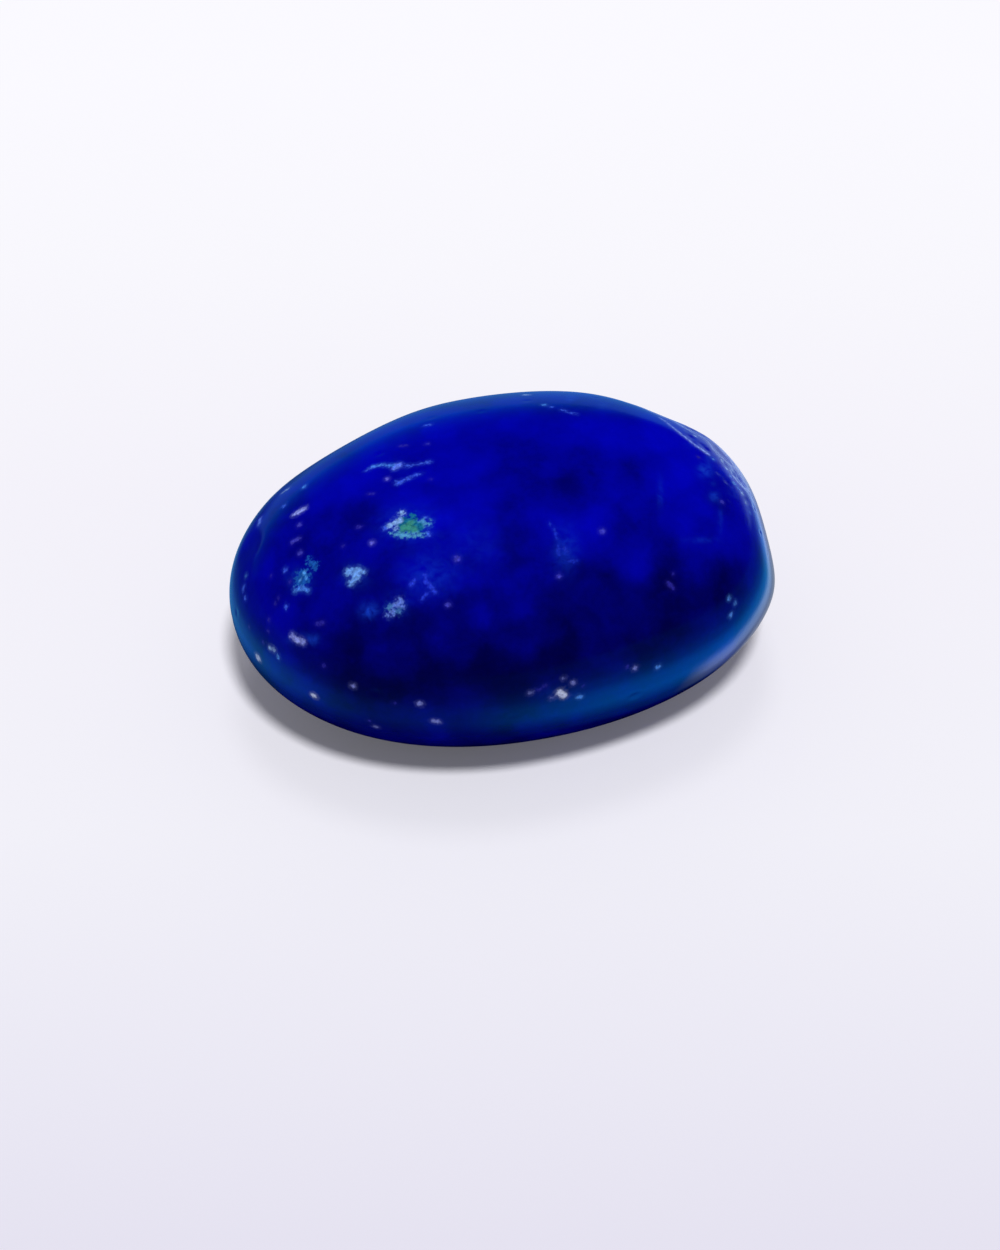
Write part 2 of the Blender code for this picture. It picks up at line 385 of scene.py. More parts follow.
def linear(hex_colour):
    """Linear red, green and blue of an sRGB hex colour."""
    values = np.array([int(hex_colour[i : i + 2], 16) for i in (1, 3, 5)]) / 255
    return np.where(values <= 0.04045, values / 12.92, ((values + 0.055) / 1.055) ** 2.4)


def grey(level):
    """The sRGB hex grey of this linear level."""
    value = 12.92 * level if level <= 0.0031308 else 1.055 * level ** (1 / 2.4) - 0.055
    return "#" + 3 * f"{round(255 * value):02X}"


def on_stone(stone, x, y):
    """The point of the stone that shows at this pixel, in millimetres, or None beside the stone."""
    hit, place, _, _ = stone.ray_cast(Vector(CAMERA_PLACE * MM), Vector(pixel_ray(x, y)))
    return np.array(place) / MM if hit else None


def photographed_flecks(stone):
    """Ends, half width, raggedness and colour of every fleck seen in the photograph, in millimetres."""
    found = []
    for colour, ragged, flecks in FLECK_KINDS:
        for fleck in flecks:
            start = on_stone(stone, *fleck[:2])
            end = on_stone(stone, *fleck[-3:-1])
            if start is not None and end is not None:
                found.append((start, end, fleck[-1] / PIXELS_PER_MM, ragged, linear(colour)))
    return found


def hidden_flecks(points, normals):
    """Seeded flecks on the sides turned from the camera: grains, short streaks and clustered patches."""
    random = np.random.default_rng(HIDDEN_SEED)
    hidden = points[normals @ TO_CAMERA < HIDDEN_FACING]
    found = []
    for colour, ragged, count in HIDDEN_GRAINS:
        for start in hidden[random.integers(len(hidden), size=count)]:
            streak = unit(random.normal(size=3)) * random.exponential(GRAIN_LENGTH)
            half_width = random.uniform(*GRAIN_HALF_WIDTH)
            found.append((start, start + streak, half_width, ragged, linear(colour)))
    for place in hidden[random.integers(len(hidden), size=HIDDEN_PATCHES)]:
        for _ in range(PATCH_STREAKS):
            start = place + random.normal(size=3) * PATCH_SPREAD
            end = start + random.normal(size=3) * PATCH_RUN
            half_width = random.uniform(*PATCH_HALF_WIDTH)
            found.append((start, end, half_width, PATCH_RAGGED, linear(random.choice(PATCH_COLOURS))))
    return found


def fleck_fields(points, flecks):
    """Depth inside the flecks, and the raggedness and colour of the one that counts, for every point.

    The depth is the half width less the distance to the line between a fleck's two ends, in
    millimetres, at its largest over the flecks. The one that counts is the last fleck that holds the
    point, or outside them all the nearest.
    """
    depth = np.full(len(points), OUTSIDE)
    raggedness = np.zeros(len(points))
    tint = np.zeros((len(points), 3))
    for start, end, half_width, ragged, colour in flecks:
        line = end - start
        along = np.clip((points - start) @ line / max(line @ line, TINY), 0, 1)
        inside = half_width - np.linalg.norm(points - start - along[:, None] * line, axis=1)
        wins = (inside > depth) | (inside > 0)
        raggedness[wins] = ragged
        tint[wins] = colour
        depth = np.maximum(depth, inside)
    return depth, raggedness, tint


def cloud_field(points, normals, clouds):
    """The sum of the soft clouds at every point: each is s * exp(-(a/r)^2 - (b/q)^2), of offsets a and b
    across and up the photograph, on the side turned to the camera."""
    seen = points - CAMERA_PLACE
    depth = -(seen @ TO_CAMERA) / CAMERA_DISTANCE
    x = STONE_PIXEL[0] + PIXELS_PER_MM * (seen @ CAMERA_RIGHT) / depth
    y = STONE_PIXEL[1] - PIXELS_PER_MM * (seen @ CAMERA_UP) / depth
    field = np.zeros(len(points))
    for centre_x, centre_y, radius_x, radius_y, strength in clouds:
        spread = ((x - centre_x) / radius_x) ** 2 + ((y - centre_y) / radius_y) ** 2
        field += strength * np.exp(-spread)
    return field * np.clip(normals @ TO_CAMERA * CLOUD_FADE, 0, 1)


def shoulder_wear(points):
    """How worn the chipped shoulder is: exp(-a^2 - b^2), of the angles a and b from its centre, across
    and up, each over its own reach."""
    rays = unit(points - GIRDLE_CENTRE)
    compass = np.degrees(np.arctan2(rays[:, 1], rays[:, 0]))
    rise = np.degrees(np.arcsin(rays[:, 2]))
    across = (compass - SHOULDER_CENTRE[0]) / (WEAR_REACH[0] * SHOULDER_SPREAD[0])
    upward = (rise - SHOULDER_CENTRE[1]) / (WEAR_REACH[1] * SHOULDER_SPREAD[1])
    return np.exp(-(across**2) - upward**2)


def store(mesh, name, kind, values):
    """Keeps one value for every point of the mesh, as a float or a colour."""
    layer = mesh.attributes.new(name, kind, "POINT")
    if kind == "FLOAT":
        layer.data.foreach_set("value", values.astype(np.float32))
    else:
        rgba = np.concatenate([values, np.ones((len(values), 1))], axis=1)
        layer.data.foreach_set("color", rgba.astype(np.float32).ravel())


def add_node(tree, kind, inputs=None, stops=(), **settings):
    """Adds a node with its settings. An input is a number, a colour or the output that it is linked to,
    and a colour ramp's stops are pairs of a position and an sRGB hex colour."""
    node = tree.nodes.new(kind)
    for name, value in settings.items():
        setattr(node, name, value)
    for name, value in (inputs or {}).items():
        if isinstance(value, bpy.types.NodeSocket):
            tree.links.new(value, node.inputs[name])
        else:
            node.inputs[name].default_value = value
    if stops:
        points = node.color_ramp.elements
        while len(points) < len(stops):
            points.new(0.5)
        for point, (position, colour) in zip(points, stops):
            point.position = position
            point.color = (*linear(colour), 1)
    return node


def ramp_stops(stops, start, end):
    """A colour ramp's stops from pairs of a place, between start and end, and a hex colour or a level."""
    return [
        ((place - start) / (end - start), value if isinstance(value, str) else grey(value))
        for place, value in stops
    ]


def per_mm(size):
    """Texture scale that gives features of this size in millimetres, for coordinates in metres."""
    return 1 / (size * MM)


# The blue's pattern, in millimetres: how long its drifts are and how far they bend it, and the size of its
# clouds, its crystal grains and its specks
DRIFT_LENGTH, DRIFT_REACH = 1.4, 0.9
CLOUD_SIZE, GRAIN_SIZE, SPECK_SIZE = 2.6, 1.3, 0.22
# Tone runs from 0, navy, to 1, bright ultramarine: where it starts, and what each pattern adds to it
PLAIN_TONE = 0.12
CLOUD_SHARE, GRAIN_SHARE, SPECK_SHARE, SHADE_SHARE = 0.7, 0.22, 0.12, -0.32
BLUES = [
    (0.0, "#000032"), (0.2, "#000052"), (0.4, "#000076"), (0.62, "#00009C"), (0.85, "#0000B4"),
    (1.0, "#0000C0"),
]
# Painted shade: the blue is made darker towards the stone's lower front, where less light falls, and lighter
# towards its top. The way there, where along it the change begins and ends in millimetres, and what the tone
# gains on either side
PAINTED_SHADE_AIM = unit(0.22 * CAMERA_RIGHT - CAMERA_UP)
PAINTED_SHADE_START, PAINTED_SHADE_END = -6.1, -0.1
PAINTED_LIGHT_LIFT, PAINTED_SHADE_DROP = 0.06, -0.26


def lazurite_blue(tree, place):
    """The plain stone's colour: clouds and crystal grains from navy to bright ultramarine, with specks,
    and painted shade that darkens its lower front and lightens its top.

    Clouds and grains read a place that slow noise has moved, which bends their outlines. The tone is the
    sum of every pattern times its share.
    """
    drift = add_node(
        tree, "ShaderNodeTexNoise", {"Vector": place, "Scale": per_mm(DRIFT_LENGTH), "Detail": 2.0},
    )
    bent = add_node(
        tree, "ShaderNodeVectorMath", {0: drift.outputs["Color"], 1: (0.5, 0.5, 0.5)}, operation="SUBTRACT",
    )
    bent = add_node(
        tree, "ShaderNodeVectorMath", {0: bent.outputs[0], 1: (DRIFT_REACH * MM,) * 3, 2: place},
        operation="MULTIPLY_ADD",
    ).outputs[0]
    clouds = add_node(
        tree, "ShaderNodeTexNoise",
        {"Vector": bent, "Scale": per_mm(CLOUD_SIZE), "Detail": 3.0, "Roughness": 0.55},
    )
    grains = add_node(
        tree, "ShaderNodeTexVoronoi", {"Vector": bent, "Scale": per_mm(GRAIN_SIZE)}, feature="SMOOTH_F1",
    )
    grain = add_node(tree, "ShaderNodeSeparateColor", {"Color": grains.outputs["Color"]})
    specks = add_node(
        tree, "ShaderNodeTexNoise", {"Vector": place, "Scale": per_mm(SPECK_SIZE), "Detail": 2.0},
    )
    # Darker and lighter clouds: partly the stone's mottling, partly painted shade and painted rim light
    shade = add_node(tree, "ShaderNodeAttribute", attribute_name="blue_mottle_and_shade")
    patterns = [
        (clouds.outputs["Fac"], CLOUD_SHARE), (grain.outputs[0], GRAIN_SHARE),
        (specks.outputs["Fac"], SPECK_SHARE), (shade.outputs["Fac"], SHADE_SHARE),
    ]
    tone = PLAIN_TONE
    for pattern, share in patterns:
        tone = add_node(
            tree, "ShaderNodeMath", {0: pattern, 1: share, 2: tone}, operation="MULTIPLY_ADD",
        ).outputs[0]
    # Painted shade: the tone drops towards the lower front and rises towards the top
    painted_shade = add_node(tree, "ShaderNodeVectorMath", {0: place, 1: PAINTED_SHADE_AIM}, operation="DOT_PRODUCT")
    painted_shade = add_node(
        tree, "ShaderNodeMapRange",
        {
            "Value": painted_shade.outputs["Value"], "From Min": PAINTED_SHADE_START * MM, "From Max": PAINTED_SHADE_END * MM,
            "To Min": PAINTED_LIGHT_LIFT, "To Max": PAINTED_SHADE_DROP,
        },
        interpolation_type="SMOOTHSTEP",
    )
    tone = add_node(tree, "ShaderNodeMath", {0: tone, 1: painted_shade.outputs["Result"]}, operation="ADD")
    return add_node(tree, "ShaderNodeValToRGB", {"Fac": tone.outputs[0]}, stops=BLUES).outputs["Color"]


# Calcite under the polish: the size of its wisps in millimetres, the noise between which a wisp fills in,
# and its colour
WISP_SIZE, WISP_LEVELS = 0.45, (0.3, 0.65)
HAZE_COLOUR = "#1440CC"


def calcite_haze(tree, place, blue):
    """The blue with soft pale clouds, broken into wisps, where calcite lies under the polish."""
    clouds = add_node(tree, "ShaderNodeAttribute", attribute_name="pale_clouds")
    wisps = add_node(
        tree, "ShaderNodeTexNoise",
        {"Vector": place, "Scale": per_mm(WISP_SIZE), "Detail": 3.0, "Distortion": 0.6},
    )
    wisps = add_node(
        tree, "ShaderNodeMapRange",
        {"Value": wisps.outputs["Fac"], "From Min": WISP_LEVELS[0], "From Max": WISP_LEVELS[1]},
    )
    haze = add_node(
        tree, "ShaderNodeMath", {0: clouds.outputs["Fac"], 1: wisps.outputs["Result"]},
        operation="MULTIPLY", use_clamp=True,
    )
    hazed = add_node(
        tree, "ShaderNodeMix", {"Factor": haze.outputs[0], "A": blue, "B": (*linear(HAZE_COLOUR), 1)},
        data_type="RGBA",
    )
    return hazed.outputs["Result"]


# A fleck's outline, in millimetres: the size of the crumbs that break it up, and its blur to either side
CRUMB_SIZE, FLECK_BLUR = 0.19, 0.09
# Crystals in a fleck: size in millimetres, the noise from dull to bright, and how dull and bright they get
SPARKLE_SIZE, SPARKLE_LEVELS, DULLEST_SPARKLE = 0.11, (0.3, 0.6), 0.75
CRYSTAL_SIZE, CRYSTAL_LEVELS, CRYSTAL_TONES = 0.17, (0.35, 0.62), (0.64, 1.1)
# Round a fleck the calcite that runs on below the surface shows as a faint halo: the depths in millimetres
# at which it begins and is full, and how strong it is
HALO_DEPTHS, HALO_STRENGTH = (-0.24, 0.02), 0.12


def mineral_flecks(tree, place, ground):
    """How much of a fleck shows at each place, and the stone's colour with the flecks on it.

    Noise from -1 to 1 times the fleck's raggedness is added to its depth, and the fleck shows where the
    sum is above 0.
    """
    depth = add_node(tree, "ShaderNodeAttribute", attribute_name="fleck_depth")
    ragged = add_node(tree, "ShaderNodeAttribute", attribute_name="fleck_ragged")
    tint = add_node(tree, "ShaderNodeAttribute", attribute_name="fleck_tint")
    crumbs = add_node(
        tree, "ShaderNodeTexNoise",
        {"Vector": place, "Scale": per_mm(CRUMB_SIZE), "Detail": 3.0, "Roughness": 0.6},
    )
    crumbs = add_node(tree, "ShaderNodeMath", {0: crumbs.outputs["Fac"], 1: 0.5}, operation="SUBTRACT")
    crumbs = add_node(
        tree, "ShaderNodeMath", {0: crumbs.outputs[0], 1: ragged.outputs["Fac"]}, operation="MULTIPLY",
    )
    depth = add_node(
        tree, "ShaderNodeMath", {0: crumbs.outputs[0], 1: 2.0, 2: depth.outputs["Fac"]},
        operation="MULTIPLY_ADD",
    ).outputs[0]
    fleck = add_node(
        tree, "ShaderNodeMapRange", {"Value": depth, "From Min": -FLECK_BLUR, "From Max": FLECK_BLUR},
        interpolation_type="SMOOTHSTEP",
    )
    sparkle = add_node(
        tree, "ShaderNodeTexNoise", {"Vector": place, "Scale": per_mm(SPARKLE_SIZE), "Detail": 1.0},
    )
    sparkle = add_node(
        tree, "ShaderNodeMapRange",
        {
            "Value": sparkle.outputs["Fac"], "From Min": SPARKLE_LEVELS[0], "From Max": SPARKLE_LEVELS[1],
            "To Min": DULLEST_SPARKLE,
        },
    )
    fleck = add_node(
        tree, "ShaderNodeMath", {0: fleck.outputs["Result"], 1: sparkle.outputs["Result"]},
        operation="MULTIPLY",
    )
    halo = add_node(
        tree, "ShaderNodeMapRange",
        {"Value": depth, "From Min": HALO_DEPTHS[0], "From Max": HALO_DEPTHS[1], "To Max": HALO_STRENGTH},
        interpolation_type="SMOOTHSTEP",
    )
    fleck = add_node(
        tree, "ShaderNodeMath", {0: fleck.outputs[0], 1: halo.outputs["Result"]}, operation="MAXIMUM",
    ).outputs[0]
    crystals = add_node(
        tree, "ShaderNodeTexNoise", {"Vector": place, "Scale": per_mm(CRYSTAL_SIZE), "Detail": 2.0},
    )
    crystals = add_node(
        tree, "ShaderNodeMapRange",
        {
            "Value": crystals.outputs["Fac"], "From Min": CRYSTAL_LEVELS[0], "From Max": CRYSTAL_LEVELS[1],
            "To Min": CRYSTAL_TONES[0], "To Max": CRYSTAL_TONES[1],
        },
    )
    tint = add_node(
        tree, "ShaderNodeVectorMath", {0: tint.outputs["Color"], "Scale": crystals.outputs["Result"]},
        operation="SCALE",
    )
    tint = add_node(tree, "ShaderNodeVectorMath", {0: tint.outputs[0], 1: (1, 1, 1)}, operation="MINIMUM")
    flecked = add_node(
        tree, "ShaderNodeMix", {"Factor": fleck, "A": ground, "B": tint.outputs[0]}, data_type="RGBA",
    )
    return fleck, flecked.outputs["Result"]


# The polish: its roughness, and what the worn shoulder and the softer calcite add to that
POLISH_ROUGHNESS, SHOULDER_ROUGHNESS, FLECK_ROUGHNESS = 0.14, 0.35, 0.12
# The worn shoulder's pitted skin, and the ripples that polishing leaves: sizes in millimetres
SKIN_SIZE = 0.25
RIPPLE_SIZE, RIPPLE_HEIGHT, RIPPLE_STRENGTH = 0.4, 0.05, 0.08
LAPIS_IOR = 1.5


def polished_lapis():
    """Lapis lazuli, tumbled with ever finer grit and polished: opaque ultramarine lazurite in grains and
    clouds of lighter and darker blue, with pale calcite and pyrite flecks under one glassy polish. Painted
    shade darkens its lower front, a painted highlight lies on its shoulder's ridge, and its whitest grains
    are painted bright as glints.
    """
    material = bpy.data.materials.new("polished_lapis")
    material.use_nodes = True
    tree = material.node_tree
    shader = tree.nodes["Principled BSDF"]
    place = add_node(tree, "ShaderNodeTexCoord").outputs["Object"]
    ground = calcite_haze(tree, place, lazurite_blue(tree, place))
    fleck, colour = mineral_flecks(tree, place, ground)

    # The chipped shoulder keeps a matt, finely pitted skin, and calcite flecks take a duller polish
    wear = add_node(tree, "ShaderNodeAttribute", attribute_name="shoulder_wear")
    skin = add_node(
        tree, "ShaderNodeTexNoise", {"Vector": place, "Scale": per_mm(SKIN_SIZE), "Detail": 4.0},
    )
    rough = add_node(
        tree, "ShaderNodeMath", {0: wear.outputs["Fac"], 1: skin.outputs["Fac"]}, operation="MULTIPLY",
    )
    rough = add_node(
        tree, "ShaderNodeMath", {0: rough.outputs[0], 1: SHOULDER_ROUGHNESS, 2: POLISH_ROUGHNESS},
        operation="MULTIPLY_ADD",
    )
    rough = add_node(
        tree, "ShaderNodeMath", {0: fleck, 1: FLECK_ROUGHNESS, 2: rough.outputs[0]},
        operation="MULTIPLY_ADD",
    )

    # The polish has ripples that are too shallow to see but in reflections
    ripple = add_node(
        tree, "ShaderNodeTexNoise", {"Vector": place, "Scale": per_mm(RIPPLE_SIZE), "Detail": 3.0},
    )
    relief = add_node(
        tree, "ShaderNodeBump",
        {"Height": ripple.outputs["Fac"], "Strength": RIPPLE_STRENGTH, "Distance": RIPPLE_HEIGHT * MM},
    )

    tree.links.new(colour, shader.inputs["Base Color"])
    tree.links.new(rough.outputs[0], shader.inputs["Roughness"])
    tree.links.new(relief.outputs[0], shader.inputs["Normal"])
    shader.inputs["IOR"].default_value = LAPIS_IOR
    return material


def lapis_pebble():
    """The polished pebble as one mesh, with its flecks and clouds kept as values on its points."""
    points, squares = pebble_surface()
    mesh = bpy.data.meshes.new("lapis_pebble")
    mesh.from_pydata(points * MM, [], squares)
    mesh.shade_smooth()
    stone = bpy.data.objects.new("lapis_pebble", mesh)
    bpy.context.scene.collection.objects.link(stone)
    bpy.context.view_layer.update()
    normals = np.zeros(len(points) * 3)
    mesh.vertices.foreach_get("normal", normals)
    normals = normals.reshape(-1, 3)
    flecks = hidden_flecks(points, normals) + photographed_flecks(stone)
    depth, ragged, tint = fleck_fields(points, flecks)
    store(mesh, "fleck_depth", "FLOAT", depth)
    store(mesh, "fleck_ragged", "FLOAT", ragged)
    store(mesh, "fleck_tint", "FLOAT_COLOR", tint)
    store(mesh, "pale_clouds", "FLOAT", cloud_field(points, normals, PALE_CLOUDS))
    # Partly mottling, partly painted shade on the lower front and painted light on the right rim
    shade = cloud_field(points, normals, DARK_CLOUDS_AND_SHADE) - cloud_field(points, normals, LIGHT_CLOUDS_AND_RIM_LIGHT)
    store(mesh, "blue_mottle_and_shade", "FLOAT", shade)
    store(mesh, "shoulder_wear", "FLOAT", shoulder_wear(points))
    mesh.materials.append(polished_lapis())
    return stone


# Soft lamps far off: compass angle and elevation, strength, and apparent width in degrees
STONE_LAMPS = {
    "key_softbox": (CAMERA_TURN + 90, 68, 0.76, 30),
    "front_fill": (CAMERA_TURN - 90, 15, 0.46, 50),
}
FLOOR_LAMPS = {
    "floor_lamp": (CAMERA_TURN - 79, 65, 0.72, 8),
    "overhead_softbox": (CAMERA_TURN + 90, 78, 0.08, 16),
}


def softbox(name, compass, elevation, strength, spread, receiver):
    """A far soft lamp that lights one object and no other, and that the polish doesn't mirror."""
    lamp = bpy.data.lights.new(name, "SUN")
    lamp.energy = strength * math.pi
    lamp.angle = math.radians(spread)
    lamp.cycles.use_multiple_importance_sampling = False
    light = bpy.data.objects.new(name, lamp)
    light.rotation_mode = "QUATERNION"
    light.rotation_quaternion = Vector(direction(compass, elevation)).to_track_quat("Z", "Y")
    light.visible_glossy = False
    bpy.context.scene.collection.objects.link(light)
    lit = bpy.data.collections.new(name + "_lights")
    lit.objects.link(receiver)
    light.light_linking.receiver_collection = lit


# The floor's side in metres
FLOOR_SIZE = 4.0
# The floor's colour by how far behind the stone it lies, in millimetres: lighter behind, as painted light
# falloff
FLOOR_NEAR, FLOOR_FAR = -60, 60
FLOOR_SHADES = [
    (-48, "#DDD9EA"), (-28, "#E9E7F2"), (-12, "#F1F0F7"), (12, "#F3F1F8"), (32, "#F7F6FB"),
    (50, "#F9F8FD"),
]
# The share of its colour that the floor gives off as its own light, which lightens the shadow
FLOOR_GLOW = 0.09
# The floor's colour for the light that it throws back on the stone
BOUNCE_COLOUR = "#9C9CA8"

# What the polish mirrors of the floor is a painted reflection: in glossy rays only, the floor glows as a
# ring of light round the stone, dark closest in. Radii count the stone's own outline from above as 1, up to
# RING_LIMIT.
# The ring has a level by radius and a colour by compass angle.
RING_LIMIT = 5.0
MIRROR_GAIN = 3.5
MIRROR_RING = [
    (0.9, 0.0), (1.1, 0.12), (1.25, 0.45), (1.4, 0.9), (1.7, 0.9), (2.1, 0.4), (3.0, 0.16), (5.0, 0.08),
]
MIRROR_SIDES = [
    (-180, "#1A6498"), (-140, "#06304A"), (-112, "#00304C"), (-70, "#0078D0"), (-30, "#067CE4"),
    (0, "#2088C8"), (36, "#788CB0"), (56, "#24507C"), (130, "#285068"), (180, "#1A6498"),
]
# Inside it, at the broad end only, lies a pale glowing rim, painted reflection too
RIM_GAIN = 1.6
RIM_RING = [(0.95, 0.0), (1.1, 0.3), (1.2, 0.85), (1.34, 1.0), (1.44, 0.35), (1.54, 0.0)]
RIM_SIDES = [
    (-45, "#000000"), (-36, "#ACB4C0"), (-10, "#BCC4D4"), (30, "#98A8B8"), (60, "#788090"),
    (100, "#000000"),
]
# Closest in, the rim's colour goes on at a level by compass angle times a level by radius
EDGE_SIDES = [(-26, 0.0), (-14, 0.5), (30, 0.5), (90, 0.0)]
EDGE_RING = [(0.7, 0.0), (0.85, 1.0), (1.1, 1.0), (1.3, 0.0)]
# Towards the broad end all of them lie farther out: radii there are counted as this share of themselves
RING_REACH = [(-30, 1.0), (-8, 0.87), (20, 0.68), (60, 0.7), (110, 1.0)]
# Behind the stone the floor glows in a wedge, painted reflection too. Its depth is the distance behind the
# stone's middle less WEDGE_SIDE times the distance from that, and it begins and is full at these depths in
# millimetres.
WEDGE_SIDE, WEDGE_DEPTHS, WEDGE_LEVEL = 0.55, (3, 12), 0.8


def pale_paper(tree, away, rays):
    """The floor that the camera sees: matt paper that fades from lilac near the camera to near white
    behind the stone, a painted light falloff, with a little light of its own. What it throws back on the
    stone is greyer."""
    reach = add_node(
        tree, "ShaderNodeMapRange", {"Value": away, "From Min": FLOOR_NEAR * MM, "From Max": FLOOR_FAR * MM},
    )
    paper = add_node(
        tree, "ShaderNodeValToRGB", {"Fac": reach.outputs["Result"]},
        stops=ramp_stops(FLOOR_SHADES, FLOOR_NEAR, FLOOR_FAR),
    ).outputs["Color"]
    bounce = add_node(
        tree, "ShaderNodeMix",
        {"Factor": rays.outputs["Is Diffuse Ray"], "A": paper, "B": (*linear(BOUNCE_COLOUR), 1)},
        data_type="RGBA",
    )
    matt = add_node(tree, "ShaderNodeBsdfDiffuse", {"Color": bounce.outputs["Result"]})
    glow = add_node(
        tree, "ShaderNodeMath", {0: rays.outputs["Is Camera Ray"], 1: FLOOR_GLOW}, operation="MULTIPLY",
    )
    glow = add_node(tree, "ShaderNodeEmission", {"Color": paper, "Strength": glow.outputs[0]})
    return add_node(tree, "ShaderNodeAddShader", {0: matt.outputs[0], 1: glow.outputs[0]}).outputs[0]


def mirrored_ring(tree, place, away):
    """The floor that the polish mirrors, as painted reflection that glows in glossy rays: the bluish ring or
    the wedge behind the stone, whichever is stronger, and the pale rim or its inner edge, whichever is
    stronger.

    The radius is |(2x / length, 2y / width)| times the reach at its compass angle.
    """
    widths = add_node(
        tree, "ShaderNodeVectorMath", {0: place, 1: (2 / LENGTH / MM, 2 / WIDTH / MM, 0)},
        operation="MULTIPLY",
    )
    radius = add_node(tree, "ShaderNodeVectorMath", {0: widths.outputs[0]}, operation="LENGTH")
    turn = add_node(tree, "ShaderNodeTexGradient", {"Vector": place}, gradient_type="RADIAL").outputs["Fac"]
    reach, side, rim, edge = (
        add_node(tree, "ShaderNodeValToRGB", {"Fac": turn}, stops=ramp_stops(stops, -180, 180)).outputs[0]
        for stops in (RING_REACH, MIRROR_SIDES, RIM_SIDES, EDGE_SIDES)
    )
    radius = add_node(
        tree, "ShaderNodeMath", {0: radius.outputs["Value"], 1: reach}, operation="MULTIPLY",
    )
    radius = add_node(
        tree, "ShaderNodeMath", {0: radius.outputs[0], 1: 1 / RING_LIMIT}, operation="MULTIPLY",
    ).outputs[0]
    ring, rim_ring, edge_ring = (
        add_node(
            tree, "ShaderNodeValToRGB", {"Fac": radius}, stops=ramp_stops(stops, 0, RING_LIMIT),
        ).outputs[0]
        for stops in (MIRROR_RING, RIM_RING, EDGE_RING)
    )
    distance = add_node(tree, "ShaderNodeVectorMath", {0: place}, operation="LENGTH")
    wedge = add_node(
        tree, "ShaderNodeMath", {0: distance.outputs["Value"], 1: -WEDGE_SIDE, 2: away},
        operation="MULTIPLY_ADD",
    )
    wedge = add_node(
        tree, "ShaderNodeMapRange",
        {
            "Value": wedge.outputs[0], "From Min": WEDGE_DEPTHS[0] * MM, "From Max": WEDGE_DEPTHS[1] * MM,
            "To Max": WEDGE_LEVEL,
        },
    )
    edge = add_node(tree, "ShaderNodeMath", {0: edge, 1: edge_ring}, operation="MULTIPLY")
    lights = []
    for colour, level, other, gain in (
        (side, ring, wedge.outputs["Result"], MIRROR_GAIN), (rim, rim_ring, edge.outputs[0], RIM_GAIN),
    ):
        level = add_node(tree, "ShaderNodeMath", {0: level, 1: other}, operation="MAXIMUM")
        level = add_node(tree, "ShaderNodeMath", {0: level.outputs[0], 1: gain}, operation="MULTIPLY")
        light = add_node(tree, "ShaderNodeEmission", {"Color": colour, "Strength": level.outputs[0]})
        lights.append(light.outputs[0])
    return add_node(tree, "ShaderNodeAddShader", {0: lights[0], 1: lights[1]}).outputs[0]


def studio_floor():
    """A level square floor of pale paper. In the polish it shows instead as a painted reflection: a ring of
    bluish light that glows close round the stone."""
    half = FLOOR_SIZE / 2
    corners = [(-half, -half, 0), (half, -half, 0), (half, half, 0), (-half, half, 0)]
    mesh = bpy.data.meshes.new("studio_floor")
    mesh.from_pydata(corners, [], [(0, 1, 2, 3)])
    floor = bpy.data.objects.new("studio_floor", mesh)
    bpy.context.scene.collection.objects.link(floor)
    material = bpy.data.materials.new("pale_paper")
    material.use_nodes = True
    tree = material.node_tree
    tree.nodes.remove(tree.nodes["Principled BSDF"])
    place = add_node(tree, "ShaderNodeTexCoord").outputs["Object"]
    away = add_node(
        tree, "ShaderNodeVectorMath", {0: place, 1: direction(CAMERA_TURN + 90, 0)},
        operation="DOT_PRODUCT",
    ).outputs["Value"]
    rays = add_node(tree, "ShaderNodeLightPath")
    surface = add_node(
        tree, "ShaderNodeMixShader",
        {
            0: rays.outputs["Is Glossy Ray"], 1: pale_paper(tree, away, rays),
            2: mirrored_ring(tree, place, away),
        },
    )
    tree.links.new(surface.outputs[0], tree.nodes["Material Output"].inputs["Surface"])
    mesh.materials.append(material)
    return floor


# The air's colours: behind the floor as the camera sees it, as a plain fill on the things, and overhead in
# the polish
BACKDROP_COLOUR, FILL_COLOUR, CEILING_COLOUR = "#F8F7FD", "#7A7A7C", "#000004"
# In the polish the air glows low behind the stone: colours by the upward part of the direction, the compass
# angle of the middle, and the cosines to it where the glow begins and is full
GLOW_COLOURS = [
    (0.0, "#1C96C0"), (0.08, "#0C6A98"), (0.17, "#084868"), (0.34, "#001C38"), (0.5, "#000008"),
]
GLOW_TURN, GLOW_COSINES = CAMERA_TURN + 116, (0.74, 0.96)


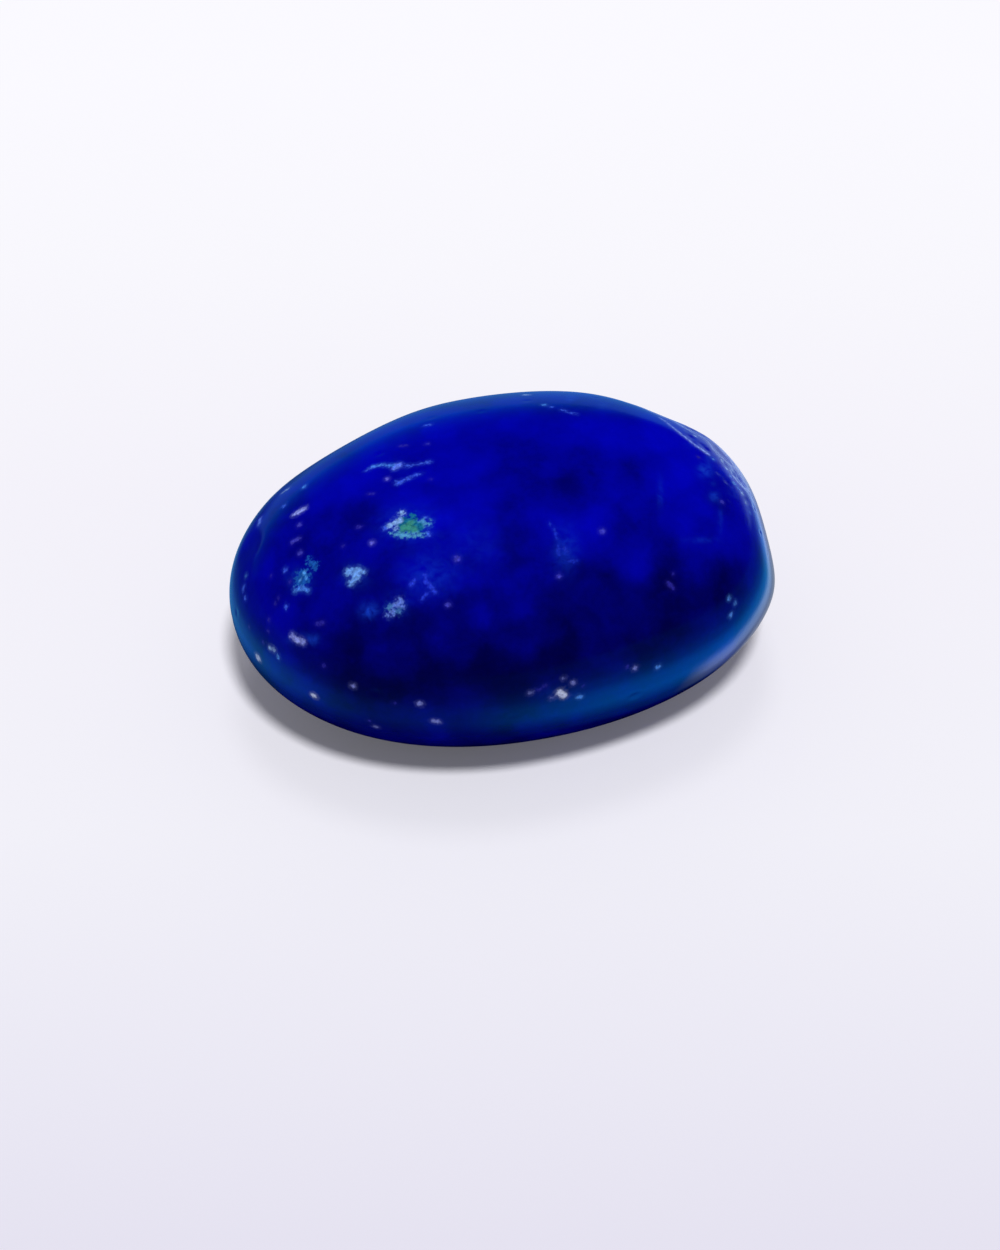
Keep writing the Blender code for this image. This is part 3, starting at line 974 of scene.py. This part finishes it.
def studio_air():
    """The room's even light: pale where the camera sees it, a plain fill on the things, and in the polish
    a blue glow low behind the stone under a dark ceiling."""
    world = bpy.data.worlds.new("studio_air")
    world.use_nodes = True
    world.cycles.sampling_method = "NONE"
    bpy.context.scene.world = world
    tree = world.node_tree
    sky = add_node(tree, "ShaderNodeTexCoord").outputs["Generated"]
    height = add_node(tree, "ShaderNodeSeparateXYZ", {"Vector": sky}).outputs["Z"]
    glow = add_node(tree, "ShaderNodeValToRGB", {"Fac": height}, stops=GLOW_COLOURS)
    behind = add_node(
        tree, "ShaderNodeVectorMath", {0: sky, 1: direction(GLOW_TURN, 0)}, operation="DOT_PRODUCT",
    )
    behind = add_node(
        tree, "ShaderNodeMapRange",
        {"Value": behind.outputs["Value"], "From Min": GLOW_COSINES[0], "From Max": GLOW_COSINES[1]},
    )
    rays = add_node(tree, "ShaderNodeLightPath")
    ceiling, fill, backdrop = (
        (*linear(colour), 1) for colour in (CEILING_COLOUR, FILL_COLOUR, BACKDROP_COLOUR)
    )
    colour = add_node(
        tree, "ShaderNodeMix",
        {"Factor": behind.outputs["Result"], "A": ceiling, "B": glow.outputs["Color"]}, data_type="RGBA",
    )
    colour = add_node(
        tree, "ShaderNodeMix",
        {"Factor": rays.outputs["Is Glossy Ray"], "A": fill, "B": colour.outputs["Result"]},
        data_type="RGBA",
    )
    colour = add_node(
        tree, "ShaderNodeMix",
        {"Factor": rays.outputs["Is Camera Ray"], "A": colour.outputs["Result"], "B": backdrop},
        data_type="RGBA",
    )
    tree.links.new(colour.outputs["Result"], tree.nodes["Background"].inputs["Color"])


# The nearest and farthest that the camera sees, in metres
CLIP_NEAR, CLIP_FAR = 0.01, 10.0


def studio_camera():
    """The camera at the photograph's place, aimed so that the girdle's centre shows at its pixel."""
    lens = bpy.data.cameras.new("studio_camera")
    lens.sensor_width = SENSOR
    lens.lens = PIXELS_PER_MM * CAMERA_DISTANCE * SENSOR / PHOTO_HEIGHT
    lens.clip_start, lens.clip_end = CLIP_NEAR, CLIP_FAR
    camera = bpy.data.objects.new("studio_camera", lens)
    camera.location = CAMERA_PLACE * MM
    camera.rotation_mode = "QUATERNION"
    aim = pixel_ray(PHOTO_WIDTH / 2, PHOTO_HEIGHT / 2)
    camera.rotation_quaternion = Vector(aim).to_track_quat("-Z", "Y")
    bpy.context.scene.collection.objects.link(camera)
    bpy.context.scene.camera = camera


pebble = lapis_pebble()
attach(pebble, "root")
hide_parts(NODE)

floor = studio_floor()
studio_air()
studio_camera()
for lamps, receiver in ((STONE_LAMPS, pebble), (FLOOR_LAMPS, floor)):
    for name, values in lamps.items():
        softbox(name, *values, receiver)
bpy.context.scene.view_settings.view_transform = "Standard"
